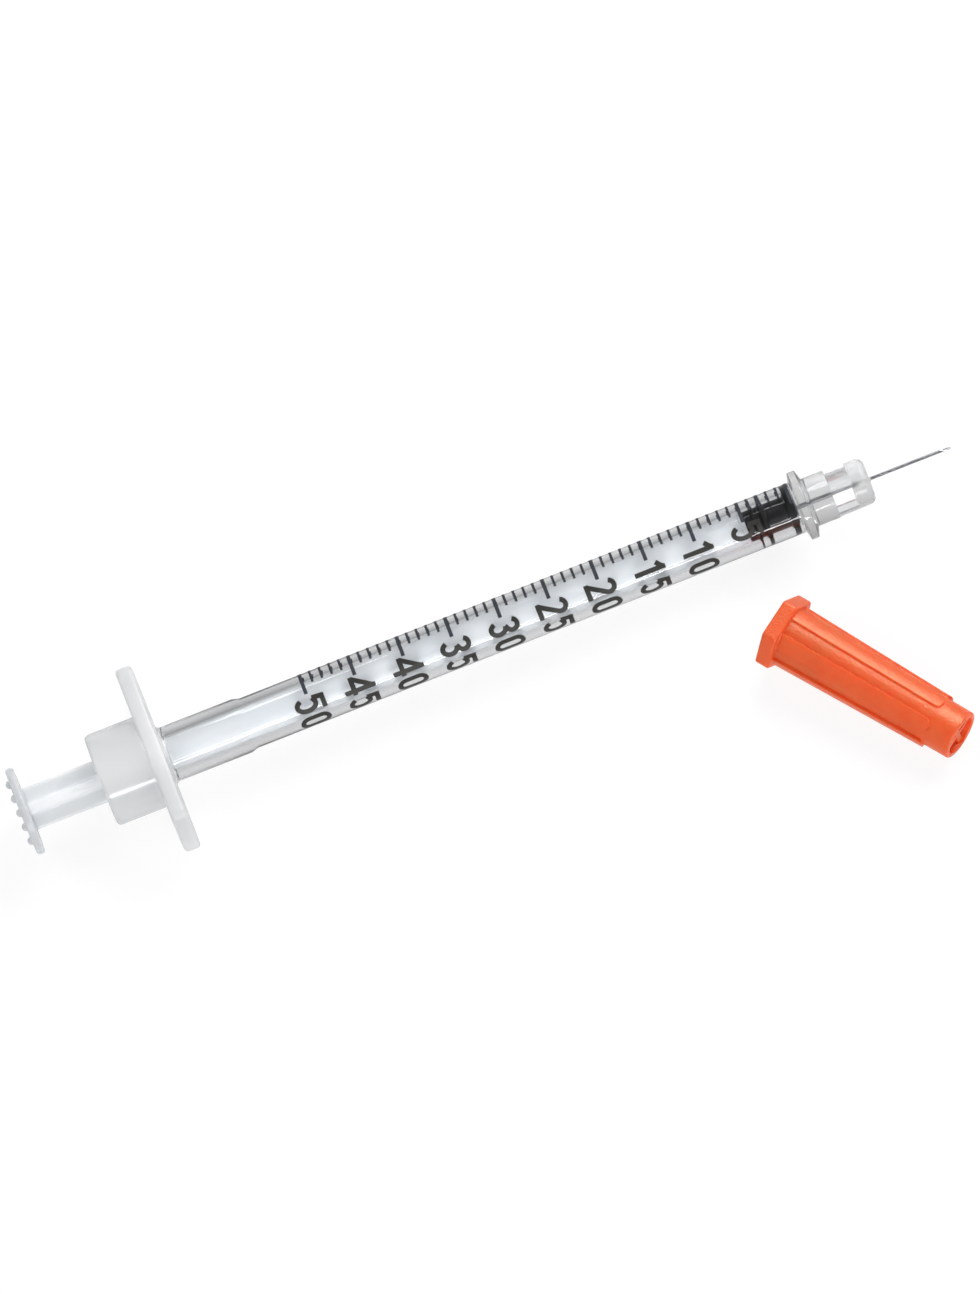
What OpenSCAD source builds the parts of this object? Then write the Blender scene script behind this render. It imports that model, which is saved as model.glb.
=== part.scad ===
// Half-millilitre insulin syringe with a fixed needle, plunger pushed home,
// and its needle cap taken off and lying beside the barrel.
// X runs along the barrel towards the needle, Y along the finger flange, Z up.
// The origin is the centre of the collar's front face, where the cap seats.

/* [Scale] */
// Length of the scale, from the zero line to the full line
scale_l = 50; // [44:0.5:56]
// Number of units printed on the scale
units = 50; // [40:5:60]
// Units from one long line to the next
long_step = 5; // [5:5:10]
// Width of a unit line
short_line_w = 0.24; // [0.15:0.01:0.35]
// Width of a long line
long_line_w = 0.36; // [0.2:0.01:0.5]
// Angle from the top to the start of a unit line
short_line_from = 14; // [8:1:25]
// Angle from the top to the start of a long line
long_line_from = -8; // [-15:1:5]
// Angle from the top to the far end of every line
lines_to = 76; // [50:1:100]
// Height of the printed ink above the barrel
ink_t = 0.03; // [0.02:0.01:0.06]

/* [Barrel] */
// Bore that the stopper slides in
bore_d = 3.57; // [3.4:0.01:3.8]
// Wall of the barrel
barrel_wall = 0.765; // [0.6:0.005:0.85]
// Wall of the thicker root next to the finger flange
root_wall = 0.965; // [0.9:0.005:1.2]
// Length of the thicker root
root_l = 8.5; // [5:0.1:11]
// Length over which the root runs down to the barrel
root_taper_l = 0.6; // [0.3:0.1:1.5]
// Fillet between the root and the finger flange
root_fillet = 0.5; // [0.2:0.05:0.8]
// Length of barrel from the full line to the finger flange
tail_l = 14.75; // [13:0.05:18]
// Length of barrel from the zero line to the end of the bore
zero_l = 0.3; // [0.3:0.05:0.8]
// Height of the bead that stops the stopper from being pulled out
bead_h = 0.12; // [0.08:0.01:0.14]
// Length of the retaining bead along the bore
bead_l = 0.5; // [0.4:0.05:0.8]
// Chamfer at the mouth of the bore
mouth_chamfer = 0.25; // [0.1:0.05:0.4]

/* [Finger flange] */
// Length across the rounded ends
flange_l = 18.75; // [16:0.05:22]
// Width across the flat sides
flange_w = 9.7; // [9.5:0.05:11]
// Thickness of the flange
flange_t = 1.6; // [1.2:0.05:1.8]
// Rounding of the flange's edges
flange_edge = 0.35; // [0.2:0.05:0.5]

/* [Rear sleeve] */
// Outside diameter of the sleeve behind the flange
sleeve_d = 9.25; // [8.8:0.05:9.3]
// Wall of the sleeve
sleeve_wall = 1.3; // [0.9:0.05:1.6]
// Length of the sleeve behind the flange
sleeve_l = 5.1; // [4:0.1:6]
// Rounding of the sleeve's open rim
sleeve_edge = 0.45; // [0.2:0.05:0.6]

/* [Nose and collar] */
// Outside diameter of the collar
collar_d = 6.9; // [6.3:0.05:7]
// Length of the collar where it meets the barrel
collar_base = 1.35; // [1:0.05:1.6]
// Length of the collar at its rim
collar_rim = 0.85; // [0.4:0.05:0.95]
// Rounding of the collar's rim
collar_edge = 0.15; // [0.05:0.05:0.2]
// Diameter of the shank that the cap grips
shank_d = 4.87; // [4.75:0.01:5]
// Length of the shank
shank_l = 2.25; // [1.8:0.05:3]
// Diameter of the tapered nose where it leaves the shank
nose_back_d = 4.76; // [4.6:0.01:4.78]
// Diameter of the tapered nose at its front
nose_front_d = 4.62; // [4.4:0.01:4.66]
// Length of the four open windows between the fins
window_l = 2.3; // [1.5:0.05:3]
// Thickness of the solid front of the nose
nose_front_t = 1.6; // [1.4:0.05:2.4]
// Rounding of the front edge
nose_edge = 0.7; // [0.3:0.05:0.8]
// Thickness of each fin
fin_t = 0.9; // [0.6:0.05:1.1]
// Diameter of the core that holds the needle
core_d = 1.5; // [1.2:0.05:1.8]
// Diameter of the glue well at the front face
well_d = 1.5; // [1.2:0.05:1.9]
// Depth of the glue well
well_l = 1.2; // [0.8:0.05:1.4]

/* [Needle] */
// Outside diameter of the needle
needle_d = 0.31; // [0.23:0.01:0.36]
// Inside diameter of the needle
needle_bore = 0.16; // [0.1:0.01:0.18]
// Needle that stands out of the nose
needle_out = 8.5; // [6:0.1:9]
// Angle of the long bevel
bevel_angle = 14; // [10:1:20]
// Clearance between the needle and its passage
needle_fit = 0.01; // [0.01:0.005:0.03]
// Height to which the glue climbs the needle
glue_rise = 0.15; // [0.05:0.05:0.3]

/* [Stopper] */
// Length of the stopper
stopper_l = 5; // [4.9:0.05:6]
// Diameter between the ribs
stopper_core_d = 3.04; // [2.8:0.01:3.2]
// Clearance between the ribs and the bore
stopper_fit = 0.02; // [0.01:0.01:0.05]
// Chamfer of the stopper's two ends
stopper_edge = 0.1; // [0.05:0.05:0.2]
// Gap between the pushed-home stopper and the end of the bore
stopper_gap = 0.1; // [0.05:0.05:0.2]
// Centre of the front lip behind the stopper's face
lip_at = 0.45; // [0.45:0.05:0.7]
// Width of the front lip
lip_w = 0.8; // [0.6:0.05:0.9]
// Centre of the middle rib behind the stopper's face
middle_rib_at = 3.14; // [2:0.02:3.2]
// Width of the middle rib
middle_rib_w = 0.6; // [0.4:0.05:0.7]
// Centre of the rear rib behind the stopper's face
rear_rib_at = 4.06; // [4:0.02:4.3]
// Width of the rear rib
rear_rib_w = 0.4; // [0.3:0.05:0.5]

/* [Plunger rod] */
// Diameter of the round front shaft
shaft_d = 3.1; // [2.9:0.05:3.15]
// Diameter of the disc that pushes the stopper
tip_disc_d = 3.24; // [3.1:0.02:3.3]
// Thickness of the disc that pushes the stopper
tip_disc_t = 0.5; // [0.3:0.05:0.8]
// Diameter of the neck inside the stopper
neck_d = 1.2; // [1:0.05:1.4]
// Length of the neck
neck_l = 0.9; // [0.7:0.05:1.2]
// Diameter of the barbed head inside the stopper
head_d = 1.9; // [1.7:0.05:2.1]
// Length of the barbed head
head_l = 1.3; // [1:0.05:1.6]
// Clearance between the rod and the stopper's socket
socket_fit = 0.04; // [0.02:0.01:0.08]
// Width of the cross-shaped rear grip
grip_w = 4.2; // [4:0.05:5]
// Thickness of each web of the rear grip
web_t = 1.1; // [0.8:0.05:1.3]
// Length of the rear grip
grip_l = 12.3; // [11:0.05:15]
// Gap between the grip's shoulder and the bore's mouth
shoulder_gap = 0.2; // [0.1:0.05:0.4]
// Turn of the rod from upright, as it happens to lie
rod_turn = 21; // [0:1:45]

/* [Thumb disc] */
// Diameter of the thumb disc
thumb_d = 8.8; // [7.5:0.05:9]
// Thickness of the thumb disc
thumb_t = 0.8; // [0.6:0.05:1.2]
// Rounding of the disc's edge
thumb_edge = 0.25; // [0.1:0.05:0.3]
// Number of grip ridges on the disc
ridges = 5; // [3:2:5]
// Distance from ridge to ridge
ridge_pitch = 1.44; // [1.2:0.02:1.5]
// Radius of each half-round ridge
ridge_r = 0.42; // [0.3:0.02:0.5]

/* [Needle cap] */
// Distance across the flats of the six-sided flange
hex_w = 6.8; // [6.75:0.05:7.6]
// Thickness of the six-sided flange
hex_t = 1.55; // [1.2:0.05:2]
// Rounding left on the corners of the six-sided flange
hex_round = 0.1; // [0.05:0.05:0.2]
// Chamfer of the six-sided flange
hex_chamfer = 0.2; // [0.1:0.05:0.3]
// Diameter over the ribs at the flange
cap_d = 6.35; // [6.2:0.05:6.6]
// Diameter over the ribs at their far end
cap_end_d = 5.6; // [5.5:0.05:5.9]
// Height of each rib
rib_h = 0.3; // [0.2:0.02:0.36]
// Width of each rib
rib_w = 1.45; // [1.2:0.05:1.6]
// Rounding of each rib's far end, seen from outside
rib_end_r = 0.6; // [0.3:0.05:0.6]
// Number of ribs
rib_count = 6; // [6:6:12]
// Diameter of the closed end's rim
rim_d = 4.95; // [4.6:0.05:5]
// Length from the end of the ribs to the rim
rim_l = 2.6; // [2:0.05:3]
// Rounding of the rim
rim_edge = 0.2; // [0.1:0.05:0.3]
// Wall round the recess in the closed end
rim_wall = 0.55; // [0.4:0.05:0.8]
// Depth of the recess in the closed end
recess_l = 1.1; // [0.6:0.05:1.5]
// Thickness of the cross bars in the recess
bar_t = 0.6; // [0.4:0.05:0.8]
// Drop of the cross bars below the rim
bar_drop = 0.3; // [0.2:0.05:0.5]
// Clearance between the cap and the nose
cap_fit = 0.02; // [0.01:0.01:0.05]
// Room in front of the needle's tip
tip_room = 1.2; // [0.8:0.1:2]
// Diameter of the room round the needle
needle_room_d = 2.4; // [2:0.1:3]
// Length of the closed end beyond the needle's room
cap_end_l = 5.25; // [5:0.05:7]
// Distance from the end of the bore back to the cap's mouth, along the barrel
cap_back = 6.05; // [4:0.05:12]
// Distance from the barrel's axis to the cap's mouth, across the barrel
cap_aside = 10.55; // [9:0.05:16]
// Direction of the cap, turned from the barrel's axis
cap_heading = -53.5; // [-70:0.5:-45]

/* [Hidden] */
$fn = 72;

// Small overlap that joins shapes of one moulding, and reach past a cut face
weld = 0.05;
reach = 1;
// Degrees from one point to the next on a rounded edge
arc_step = 15;

bore_r = bore_d / 2;
barrel_r = bore_r + barrel_wall;
root_r = bore_r + root_wall;
sleeve_r = sleeve_d / 2;
shank_r = shank_d / 2;
nose_back_r = nose_back_d / 2;
nose_front_r = nose_front_d / 2;
needle_r = needle_d / 2;
rib_r = bore_r - stopper_fit;
core_r = stopper_core_d / 2;
grip_r = grip_w / 2;
thumb_r = thumb_d / 2;

// Places along the barrel, from the needle to the thumb disc
nose_l = shank_l + window_l + nose_front_t;
needle_tip_x = nose_l + needle_out;
bore_end_x = -collar_base;
zero_x = bore_end_x - zero_l;
unit_pitch = scale_l / units;
full_x = zero_x - scale_l;
flange_x = full_x - tail_l;
flange_rear_x = flange_x - flange_t;
sleeve_rear_x = flange_rear_x - sleeve_l;
stopper_x = bore_end_x - stopper_gap;
stopper_rear_x = stopper_x - stopper_l;
tip_disc_x = stopper_rear_x - socket_fit;
shoulder_x = flange_rear_x - shoulder_gap;
thumb_x = shoulder_x - grip_l;
bead_x = flange_rear_x + mouth_chamfer + bead_l;

// The cap, from its mouth to its closed end, and the turn from a flat to a corner
needle_room_l = nose_l + needle_out + tip_room;
cap_l = needle_room_l + cap_end_l;
ribs_end = cap_l - rim_l;
corner_turn = 30;
hex_r = hex_w / 2 / cos(corner_turn);

// The surface that flange and collar both touch, and how the cap lies on it
rest_drop = flange_w / 2;
collar_r = collar_d / 2;
collar_touch_x = -(collar_base - collar_rim) / 2;
rest_tilt = atan((rest_drop - collar_r) / (collar_touch_x - flange_x));
rib_crest = sqrt(pow(cap_end_d / 2, 2) - pow(rib_w / 2, 2));
rib_reach = rib_crest * cos(corner_turn) + rib_w / 2 * sin(corner_turn);
cap_lean = atan((hex_w / 2 - rib_reach) / (ribs_end - rib_end_r - hex_t));

// What the scale holds: 50 mm of a 3.57 mm bore is half a millilitre
scale_volume = PI * bore_r * bore_r * scale_l / 1000;
echo(str("Volume of the whole scale in millilitres: ", scale_volume));

// Turns a profile of [radius, place along X] points round the X axis
module lathe(profile) {
    rotate([0, 90, 0])
        rotate_extrude()
            polygon(profile);
}

// Round bar along the X axis from place x0 to place x1, where its radius may differ
module bar_x(radius, x0, x1, end_radius = undef) {
    translate([x0, 0, 0])
        rotate([0, 90, 0])
            cylinder(r1 = radius, r2 = is_undef(end_radius) ? radius : end_radius, h = x1 - x0);
}

// Points of a rounded corner about a centre, from one angle to another
function corner(centre, radius, from, to) =
    [for (a = [from : (to > from ? arc_step : -arc_step) : to])
        [centre[0] + radius * cos(a), centre[1] + radius * sin(a)]];

// Nose, collar, barrel and root as one turned outline
module barrel_outline() {
    slope = (collar_base - collar_rim) / 2;
    e = collar_edge;
    lathe(concat(
        [[0, nose_l]],
        corner([nose_front_r - nose_edge, nose_l - nose_edge], nose_edge, 90, 0),
        [[nose_back_r, shank_l],
         [shank_r, shank_l],
         [shank_r, 0]],
        corner([collar_r - e, -slope - e], e, 90, 0),
        corner([collar_r - e, -slope - collar_rim + e], e, 0, -90),
        [[barrel_r, -collar_base],
         [barrel_r, flange_x + root_l],
         [root_r, flange_x + root_l - root_taper_l]],
        corner([root_r + root_fillet, flange_x + root_fillet], root_fillet, 180, 270),
        [[root_r + root_fillet, flange_x - weld],
         [0, flange_x - weld]]));
}

// Oval finger flange: a round disc with two flat sides and rounded edges
module finger_flange() {
    half_l = flange_l / 2;
    half_w = flange_w / 2;
    e = flange_edge;
    intersection() {
        lathe(concat(
            [[0, flange_x]],
            corner([half_l - e, flange_x - e], e, 90, 0),
            corner([half_l - e, flange_rear_x + e], e, 0, -90),
            [[0, flange_rear_x]]));
        rotate([90, 0, 0])
            linear_extrude(height = flange_l + reach, center = true)
                polygon(concat(
                    corner([flange_x - e, half_w - e], e, 0, 90),
                    corner([flange_rear_x + e, half_w - e], e, 90, 180),
                    corner([flange_rear_x + e, e - half_w], e, 180, 270),
                    corner([flange_x - e, e - half_w], e, 270, 360)));
    }
}

// Open sleeve behind the flange, rounded at its rim
module rear_sleeve() {
    inner_r = sleeve_r - sleeve_wall;
    lathe(concat(
        [[inner_r, flange_rear_x + weld], [sleeve_r, flange_rear_x + weld]],
        corner([sleeve_r - sleeve_edge, sleeve_rear_x + sleeve_edge], sleeve_edge, 0, -90),
        [[inner_r, sleeve_rear_x]]));
}

// Four windows that leave a core and four fins in the nose
module nose_windows() {
    difference() {
        for (quarter = [0 : 3])
            rotate([quarter * 90, 0, 0])
                translate([shank_l, fin_t / 2, fin_t / 2])
                    cube([window_l, nose_back_d, nose_back_d]);
        bar_x(core_d / 2, shank_l - reach, shank_l + window_l + reach);
    }
}

// Round bead near the bore's mouth that the stopper's ribs can't pass
module retaining_bead() {
    lathe([[bore_r + weld, bead_x],
           [bore_r, bead_x],
           [bore_r - bead_h, bead_x - bead_l / 3],
           [bore_r - bead_h, bead_x - bead_l * 2 / 3],
           [bore_r, bead_x - bead_l],
           [bore_r + weld, bead_x - bead_l]]);
}

// Barrel moulding: nose, collar, tube, root, finger flange and rear sleeve
module barrel() {
    passage_r = needle_r + needle_fit;
    color([0.86, 0.88, 0.9, 0.45]) {
        difference() {
            union() {
                barrel_outline();
                finger_flange();
                rear_sleeve();
            }
            bar_x(bore_r, flange_rear_x - weld, bore_end_x);
            lathe([[0, flange_rear_x - weld],
                   [bore_r + mouth_chamfer, flange_rear_x - weld],
                   [bore_r + mouth_chamfer, flange_rear_x],
                   [bore_r - weld, flange_rear_x + mouth_chamfer + weld],
                   [0, flange_rear_x + mouth_chamfer + weld]]);
            bar_x(passage_r, bore_end_x - weld, nose_l + reach);
            lathe([[0, nose_l - well_l],
                   [core_d / 4, nose_l - well_l],
                   [well_d / 2, nose_l],
                   [well_d / 2, nose_l + reach],
                   [0, nose_l + reach]]);
            nose_windows();
        }
        retaining_bead();
    }
}

// One printed line round the barrel, between two angles from the top
module scale_line(x, width, from) {
    translate([x, 0, 0])
        rotate([0, 90, 0])
            rotate([0, 0, 180 - lines_to])
                rotate_extrude(angle = lines_to - from)
                    translate([barrel_r, -width / 2])
                        square([ink_t, width]);
}

// Printed scale: a short line for each unit and a long one at each step
module scale_lines() {
    color([0.16, 0.18, 0.21])
        for (unit = [0 : units]) {
            is_long = unit % long_step == 0;
            scale_line(zero_x - unit * unit_pitch,
                       is_long ? long_line_w : short_line_w,
                       is_long ? long_line_from : short_line_from);
        }
}

// Steel tube with a long bevel ground across its tip and two side bevels
module needle() {
    side_turn = 35;
    side_angle = bevel_angle * 1.5;
    bevel_l = needle_d / tan(bevel_angle);
    color([0.72, 0.74, 0.76])
        difference() {
            bar_x(needle_r, bore_end_x, needle_tip_x);
            bar_x(needle_bore / 2, bore_end_x - reach, needle_tip_x + reach);
            translate([needle_tip_x, 0, -needle_r])
                rotate([0, bevel_angle, 0])
                    translate([-reach - bevel_l, -needle_d, 0])
                        cube([2 * reach + bevel_l, 2 * needle_d, 2 * needle_d]);
            for (side = [-1, 1])
                rotate([side * side_turn, 0, 0])
                    translate([needle_tip_x, 0, -needle_r])
                        rotate([0, side_angle, 0])
                            translate([-reach, -needle_d, 0])
                                cube([2 * reach, 2 * needle_d, 2 * needle_d]);
        }
}

// Glue that fills the well and climbs a little way up the needle
module needle_adhesive() {
    color([0.85, 0.87, 0.86, 0.7])
        difference() {
            lathe([[0, nose_l - well_l],
                   [core_d / 4, nose_l - well_l],
                   [well_d / 2, nose_l],
                   [well_d / 4, nose_l + glue_rise / 3],
                   [needle_r + needle_fit, nose_l + glue_rise],
                   [0, nose_l + glue_rise]]);
            bar_x(needle_r, nose_l - well_l - reach, nose_l + reach);
        }
}

// One sealing rib of the stopper, with sloping sides
module sealing_rib(at, width) {
    centre_x = stopper_x - at;
    slope = width / 4;
    lathe([[core_r - weld, centre_x + width / 2],
           [core_r, centre_x + width / 2],
           [rib_r, centre_x + width / 2 - slope],
           [rib_r, centre_x - width / 2 + slope],
           [core_r, centre_x - width / 2],
           [core_r - weld, centre_x - width / 2]]);
}

// Rubber stopper with three ribs and a barbed socket in its back
module stopper() {
    color([0.12, 0.12, 0.12])
        difference() {
            union() {
                lathe([[0, stopper_x],
                       [core_r - stopper_edge, stopper_x],
                       [core_r, stopper_x - stopper_edge],
                       [core_r, stopper_rear_x + stopper_edge],
                       [core_r - stopper_edge, stopper_rear_x],
                       [0, stopper_rear_x]]);
                sealing_rib(lip_at, lip_w);
                sealing_rib(middle_rib_at, middle_rib_w);
                sealing_rib(rear_rib_at, rear_rib_w);
            }
            barb(socket_fit, reach);
        }
}

// Neck and barbed head, grown by a clearance and drawn out backwards by a tail
module barb(grow, tail) {
    head_x = tip_disc_x + neck_l;
    head_tip_x = head_x + head_l;
    lathe([[0, tip_disc_x - tail],
           [neck_d / 2 + grow, tip_disc_x - tail],
           [neck_d / 2 + grow, head_x - grow],
           [head_d / 2 + grow, head_x - grow],
           [head_d / 2 + grow, head_x + head_l / 4],
           [head_d / 4 + grow, head_tip_x + grow],
           [0, head_tip_x + grow]]);
}

// Ridged disc that the thumb pushes
module thumb_disc() {
    rear_x = thumb_x - thumb_t;
    e = thumb_edge;
    lathe(concat(
        [[0, thumb_x]],
        corner([thumb_r - e, thumb_x - e], e, 90, 0),
        corner([thumb_r - e, rear_x + e], e, 0, -90),
        [[0, rear_x]]));
    intersection() {
        bar_x(thumb_r - e, rear_x - reach, thumb_x - weld);
        for (i = [0 : ridges - 1])
            translate([rear_x, (i - (ridges - 1) / 2) * ridge_pitch, 0])
                cylinder(r = ridge_r, h = thumb_d, center = true);
    }
}

// Plunger rod: barb, pushing disc, round shaft, cross-shaped grip, thumb disc
module plunger_rod() {
    color([0.87, 0.88, 0.9])
        rotate([rod_turn, 0, 0]) {
            barb(0, weld);
            bar_x(tip_disc_d / 2, tip_disc_x - tip_disc_t, tip_disc_x);
            bar_x(shaft_d / 2, shoulder_x - weld, tip_disc_x - tip_disc_t + weld);
            intersection() {
                bar_x(grip_r, thumb_x - weld, shoulder_x);
                for (turn = [0, 90])
                    rotate([turn, 0, 0])
                        translate([thumb_x - reach, -grip_r, -web_t / 2])
                            cube([grip_l + 2 * reach, grip_w, web_t]);
            }
            thumb_disc();
        }
}

// Six-sided flange at the cap's mouth, with softened corners
module cap_flange() {
    corner_r = hex_r - hex_round;
    intersection() {
        rotate([0, 90, 0])
            rotate([0, 0, corner_turn])
                cylinder(r = hex_r, h = hex_t, $fn = 6);
        lathe([[0, 0],
               [corner_r - hex_chamfer, 0],
               [corner_r, hex_chamfer],
               [corner_r, hex_t - hex_chamfer],
               [corner_r - hex_chamfer, hex_t],
               [0, hex_t]]);
    }
}

// Outline of one rib, seen from outside: straight sides and rounded far corners
module rib_plan() {
    e = rib_end_r;
    half_w = rib_w / 2;
    polygon(concat(
        [[hex_t - weld, half_w], [hex_t - weld, -half_w]],
        corner([ribs_end - e, e - half_w], e, -90, 0),
        corner([ribs_end - e, half_w - e], e, 0, 90)));
}

// Ribs along the cap, one on each corner of the flange
module cap_ribs() {
    core = needle_room_d / 2 + weld;
    intersection() {
        lathe([[core, hex_t - weld],
               [cap_d / 2, hex_t - weld],
               [cap_end_d / 2, ribs_end - rib_h],
               [cap_end_d / 2 - rib_h, ribs_end],
               [core, ribs_end]]);
        for (i = [0 : rib_count - 1])
            rotate([corner_turn + i * 360 / rib_count, 0, 0])
                linear_extrude(height = cap_d)
                    rib_plan();
    }
}

// Recess in the closed end, with a cross of two bars left in it
module cap_recess() {
    difference() {
        bar_x(rim_d / 2 - rim_wall, cap_l - recess_l, cap_l + reach);
        for (turn = [0, 90])
            rotate([turn, 0, 0])
                translate([cap_l - recess_l - reach, -rim_d, -bar_t / 2])
                    cube([recess_l + reach - bar_drop, 2 * rim_d, bar_t]);
    }
}

// Cap along its own axis, mouth at the start and closed end towards +X
module cap_shape() {
    mouth_l = shank_l + cap_fit;
    floor_l = nose_l + cap_fit;
    difference() {
        union() {
            cap_flange();
            cap_ribs();
            lathe(concat(
                [[0, hex_t - weld],
                 [cap_d / 2 - rib_h, hex_t - weld],
                 [cap_end_d / 2 - rib_h, ribs_end]],
                corner([rim_d / 2 - rim_edge, cap_l - rim_edge], rim_edge, 0, 90),
                [[0, cap_l]]));
        }
        bar_x(shank_r + cap_fit, -reach, mouth_l);
        bar_x(nose_back_r + cap_fit, mouth_l - weld, floor_l, nose_front_r + cap_fit);
        bar_x(needle_room_d / 2, floor_l - weld, needle_room_l);
        cap_recess();
    }
}

// Cap as it lies: on a flat of its flange and the ends of two ribs
module needle_cap() {
    color([0.93, 0.42, 0.22])
        translate([flange_x, 0, -rest_drop])
            rotate([0, -rest_tilt, 0])
                translate([bore_end_x - cap_back - flange_x, -cap_aside, 0])
                    rotate([0, 0, cap_heading])
                        translate([hex_t, 0, 0])
                            rotate([0, cap_lean, 0])
                                translate([-hex_t, 0, hex_w / 2])
                                    cap_shape();
}

barrel();
scale_lines();
needle();
needle_adhesive();
stopper();
plunger_rod();
needle_cap();
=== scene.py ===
"""Looks of a half-millilitre insulin syringe with its orange needle cap taken off.

Lengths are written in millimetres and turned to metres when a mesh is made. X runs along the
barrel towards the needle, Y along the finger flange, Z up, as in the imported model.
"""
import math

import bmesh
import bpy
from mathutils import Matrix, Vector


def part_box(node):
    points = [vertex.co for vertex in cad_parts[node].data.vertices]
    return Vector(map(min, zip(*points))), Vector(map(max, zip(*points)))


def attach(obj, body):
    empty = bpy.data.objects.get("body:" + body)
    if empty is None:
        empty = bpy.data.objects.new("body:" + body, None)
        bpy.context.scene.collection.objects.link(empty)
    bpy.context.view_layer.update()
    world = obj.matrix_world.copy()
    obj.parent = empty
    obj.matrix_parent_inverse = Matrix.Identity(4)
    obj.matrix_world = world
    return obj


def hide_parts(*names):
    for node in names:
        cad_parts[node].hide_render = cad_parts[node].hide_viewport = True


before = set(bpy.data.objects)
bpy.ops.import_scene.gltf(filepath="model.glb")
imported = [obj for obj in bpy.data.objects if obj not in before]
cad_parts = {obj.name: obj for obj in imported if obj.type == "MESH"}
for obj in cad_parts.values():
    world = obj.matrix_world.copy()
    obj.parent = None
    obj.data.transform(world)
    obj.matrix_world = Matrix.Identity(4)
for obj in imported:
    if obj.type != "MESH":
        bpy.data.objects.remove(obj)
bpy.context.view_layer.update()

MM = 0.001


# Sizes, in millimetres

barrel_low, barrel_high = (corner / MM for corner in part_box("barrel"))
sleeve_rear_x = barrel_low.x
nose_front_x = barrel_high.x
flange_half_l = barrel_high.y
flange_half_w = barrel_high.z
needle_tip_x = nose_front_x + 8.5

sleeve_l = 5.1
flange_t = 1.6
flange_edge = 0.35
flange_corner = 0.5
flange_rear_x = sleeve_rear_x + sleeve_l
flange_x = flange_rear_x + flange_t
sleeve_r = 4.625
sleeve_wall = 1.3
sleeve_edge = 0.45

bore_r = 1.785
barrel_r = 2.55
root_r = 2.75
root_l = 8.5
root_taper_l = 0.6
root_fillet = 0.5
mouth_chamfer = 0.25
sleeve_lip = 0.2
bead_h = 0.12
bead_l = 0.5

collar_r = 3.45
collar_base = 1.35
collar_rim = 0.85
collar_edge = 0.15
collar_fillet = 0.12
shank_r = 2.435
shank_edge = 0.05
shank_fillet = 0.1
shank_l = 2.25
nose_back_r = 2.38
nose_front_r = 2.31
nose_edge = 0.7
window_l = 2.1
pillars = 3
pillar_t = 0.85
pillar_half_angle = 20.5
pillar_side_turn = 0.02
well_r = 0.75
well_l = 1.2
well_edge = 0.06
glue_rise = 0.15
glue_bond = 0.01
needle_r = 0.155
needle_bore_r = 0.08
needle_hold = 0.01
bevel_angle = 14
side_bevel_turn = 35

bore_end_x = -collar_base
zero_x = bore_end_x - 0.3
scale_l = 50
units = 50
unit_pitch = scale_l / units

stopper_x = bore_end_x - 0.1
stopper_l = 5.0
stopper_rear_x = stopper_x - stopper_l
stopper_core_r = 1.52
stopper_edge = 0.15
rib_squeeze = 0.02
rib_round = 0.09
rib_foot = 0.06
rib_places = ((0.45, 0.8), (3.14, 0.6), (4.06, 0.4))    # distance from the front, and width

shaft_r = 1.55
tip_disc_r = 1.62
tip_disc_t = 0.5
tip_disc_edge = 0.1
tip_gap = 0.04
peg_r = 0.6
peg_l = 0.6
grip_r = 2.1
web_t = 1.1
web_edge = 0.15
web_fillet = 0.3
shoulder_edge = 0.15
grip_flare = ((0.25, 0), (0.08, 0.06), (0, 0.25))    # distance from the thumb disc, and rise
grip_l = 12.3
shoulder_x = flange_rear_x - 0.2
thumb_x = shoulder_x - grip_l
thumb_r = 4.4
thumb_t = 0.8
thumb_edge = 0.25
ridge_pitch = 1.44
ridge_r = 0.42
ridge_end_l = 0.4
ridge_sink = 0.02
ridges = 5
rod_turn = 21

cap_l = 21.1
hex_half_w = 3.4
hex_t = 1.55
hex_corner = 0.35
hex_edge = 0.2
cap_r = 3.175
cap_end_r = 2.8
rib_h = 0.3
rib_half_angle = 15
rib_end_r = 0.6
rib_edge = 0.15
rib_slope = 0.1
rim_r = 2.475
rim_edge = 0.2
rim_l = 2.6
rim_wall = 0.55
recess_l = 1.1
recess_lip = 0.1
recess_fillet = 0.15
body_fillet = 0.1
bar_t = 0.6
bar_drop = 0.3
bar_edge = 0.08
bar_sink = 0.2
cap_play = 0.02
cap_lead = 0.15
needle_room_edge = 0.3
needle_room_r = 1.2
needle_room_l = 15.85
ribs_end = cap_l - rim_l
cap_back = 6.05
cap_aside = 10.55
cap_heading = -53.5

# The surface that the finger flange and the collar both touch
collar_touch_x = -(collar_base - collar_rim) / 2
rest_tilt = math.atan((flange_half_w - collar_r) / (collar_touch_x - flange_x))


# Meshes, as lofts through rings of points that lie round the X axis

def turned_angles(count, extra=()):
    """Even steps round a turn, and the extra angles in degrees, in all four quarters."""
    steps = {round(i * 360 / count, 4) for i in range(count)}
    for a in extra:
        for b in (a, -a, 180 - a, 180 + a):
            steps.add(round(b % 360, 4))
    found = []
    for a in sorted(steps):
        if not found or a - found[-1] > 0.02:
            found.append(a)
    return [math.radians(a) for a in found]


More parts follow.
